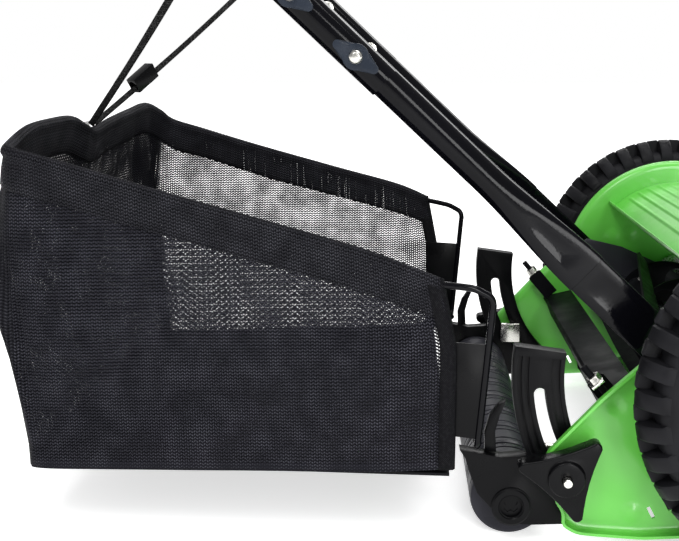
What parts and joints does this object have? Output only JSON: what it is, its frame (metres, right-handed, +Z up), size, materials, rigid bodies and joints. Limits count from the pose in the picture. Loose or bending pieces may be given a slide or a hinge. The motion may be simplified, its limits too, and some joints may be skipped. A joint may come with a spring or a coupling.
{
  "type": "reel mower",
  "caption": "Hand-pushed reel mower with green side plates, a bladed reel geared to its lugged wheels, a rear roller, a tube handle and a mesh catcher bag.",
  "frame": {"origin": "on the ground, under the middle of the whole mower's length and width", "axes": "+X forwards, +Y to the mower's left, +Z up; the wheel axis is parallel to Y"},
  "size_m": [1.0991, 0.54, 0.9647],
  "materials": {
    "green_paint": "gloss",
    "black_paint": "satin",
    "gloss_black_paint": "gloss",
    "steel": "satin",
    "blade_steel": "satin",
    "zinc_plate": "gloss",
    "black_plastic": "satin",
    "blue_black_plastic": "gloss",
    "tyre_rubber": "matte",
    "grip_foam": "matte",
    "catcher_mesh": "matte",
    "strap_webbing": "matte"
  },
  "bodies": {
    "deck": {"side_plate_right": "green_paint", "side_plate_left": "green_paint", "inner_plate_right": "black_paint", "inner_plate_left": "black_paint", "top_cover": "green_paint", "front_tie_rod": "black_paint", "bed_bar": "black_paint", "bed_knife": "steel", "bed_knife_screws": "zinc_plate", "adjuster_screws": "zinc_plate", "adjuster_nuts": "zinc_plate", "stub_axles": "steel", "axle_nuts": "zinc_plate", "reel_bearings": "steel", "clamp_bolts": "zinc_plate", "guide_bolts": "zinc_plate", "handle_pivot_bolts": "zinc_plate", "plate_bolts": "zinc_plate"},
    "wheel_right": {"wheel_right": "black_plastic", "tyre_right": "tyre_rubber", "hub_cap_right": "black_plastic"},
    "wheel_left": {"wheel_left": "black_plastic", "tyre_left": "tyre_rubber", "hub_cap_left": "black_plastic"},
    "reel": {"reel_shaft": "steel", "reel_spiders": "black_paint", "reel_blades": "blade_steel"},
    "pinion_right": {"pinion_right": "steel"},
    "pinion_left": {"pinion_left": "steel"},
    "height_adjust": {"roller_bracket_right": "black_plastic", "roller_bracket_left": "black_plastic", "roller_rod": "steel"},
    "roller": {"roller_sleeves": "black_plastic"},
    "height_knob_right": {"height_knob_right": "black_plastic"},
    "height_knob_left": {"height_knob_left": "black_plastic"},
    "handle": {"lower_tube_right": "gloss_black_paint", "lower_tube_left": "gloss_black_paint", "upper_handle": "gloss_black_paint", "foam_grip": "grip_foam", "handle_bolts": "zinc_plate"},
    "wing_nut_right_low": {"wing_nut_right_low": "blue_black_plastic"},
    "wing_nut_right_high": {"wing_nut_right_high": "blue_black_plastic"},
    "wing_nut_left_low": {"wing_nut_left_low": "blue_black_plastic"},
    "wing_nut_left_high": {"wing_nut_left_high": "blue_black_plastic"},
    "catcher": {"catcher_frame": "gloss_black_paint", "catcher_clip_right": "gloss_black_paint", "catcher_clip_left": "gloss_black_paint", "bag_side_right": "catcher_mesh", "bag_side_left": "catcher_mesh", "bag_rear": "catcher_mesh", "bag_floor": "catcher_mesh", "floor_board": "black_plastic"},
    "strap": {"strap": "strap_webbing", "strap_slider": "black_plastic"}
  },
  "joints": [
    {"name": "wheel_right_spin", "type": "hinge", "parent": "deck", "child": "wheel_right", "pos_m": [0.42463, -0.24, 0.125], "axis": [0, 1, 0], "continuous": true},
    {"name": "wheel_left_spin", "type": "hinge", "parent": "deck", "child": "wheel_left", "pos_m": [0.42463, 0.24, 0.125], "axis": [0, 1, 0], "continuous": true},
    {"name": "reel_spin", "type": "hinge", "parent": "deck", "child": "reel", "pos_m": [0.41063, 0, 0.08753], "axis": [0, 1, 0], "continuous": true},
    {"name": "pinion_right_spin", "type": "hinge", "parent": "deck", "child": "pinion_right", "pos_m": [0.41063, -0.215, 0.08753], "axis": [0, 1, 0], "continuous": true},
    {"name": "pinion_left_spin", "type": "hinge", "parent": "deck", "child": "pinion_left", "pos_m": [0.41063, 0.215, 0.08753], "axis": [0, 1, 0], "continuous": true},
    {"name": "cut_height", "type": "hinge", "parent": "deck", "child": "height_adjust", "pos_m": [0.37963, 0, 0.125], "axis": [0, 1, 0], "range_deg": [-16, 0]},
    {"name": "roller_spin", "type": "hinge", "parent": "height_adjust", "child": "roller", "pos_m": [0.22763, 0, 0.028], "axis": [0, 1, 0], "continuous": true},
    {"name": "height_knob_right_turn", "type": "hinge", "parent": "deck", "child": "height_knob_right", "pos_m": [0.26145, -0.22, 0.05976], "axis": [0, 1, 0], "range_deg": [0, 360]},
    {"name": "height_knob_left_turn", "type": "hinge", "parent": "deck", "child": "height_knob_left", "pos_m": [0.26145, 0.22, 0.05976], "axis": [0, 1, 0], "range_deg": [0, 360]},
    {"name": "handle_swing", "type": "hinge", "parent": "deck", "child": "handle", "pos_m": [0.37663, 0, 0.1], "axis": [0, 1, 0], "range_deg": [-4, 15]},
    {"name": "catcher_tilt", "type": "hinge", "parent": "height_adjust", "child": "catcher", "pos_m": [0.20263, 0, 0.0732], "axis": [0, 1, 0], "range_deg": [-5.3, 19.6]},
    {"name": "strap_swing", "type": "hinge", "parent": "handle", "child": "strap", "pos_m": [0.02485, 0, 0.42804], "axis": [0, 1, 0], "range_deg": [-9, 2.5]},
    {"name": "wing_nut_right_low_turn", "type": "hinge", "parent": "handle", "child": "wing_nut_right_low", "pos_m": [0.11773, -0.222, 0.34143], "axis": [0, 1, 0], "range_deg": [0, 360]},
    {"name": "wing_nut_right_high_turn", "type": "hinge", "parent": "handle", "child": "wing_nut_right_high", "pos_m": [0.07605, -0.222, 0.3803], "axis": [0, 1, 0], "range_deg": [0, 360]},
    {"name": "wing_nut_left_low_turn", "type": "hinge", "parent": "handle", "child": "wing_nut_left_low", "pos_m": [0.11773, 0.222, 0.34143], "axis": [0, 1, 0], "range_deg": [0, 360]},
    {"name": "wing_nut_left_high_turn", "type": "hinge", "parent": "handle", "child": "wing_nut_left_high", "pos_m": [0.07605, 0.222, 0.3803], "axis": [0, 1, 0], "range_deg": [0, 360]}
  ],
  "couplings": [
    {"joint": "reel_spin", "follows": "wheel_right_spin", "ratio": 4.6364},
    {"joint": "pinion_right_spin", "follows": "wheel_right_spin", "ratio": 4.6364},
    {"joint": "pinion_left_spin", "follows": "wheel_left_spin", "ratio": 4.6364},
    {"joint": "catcher_tilt", "follows": "handle_swing", "ratio": 1.3},
    {"joint": "strap_swing", "follows": "handle_swing", "ratio": -0.58}
  ]
}
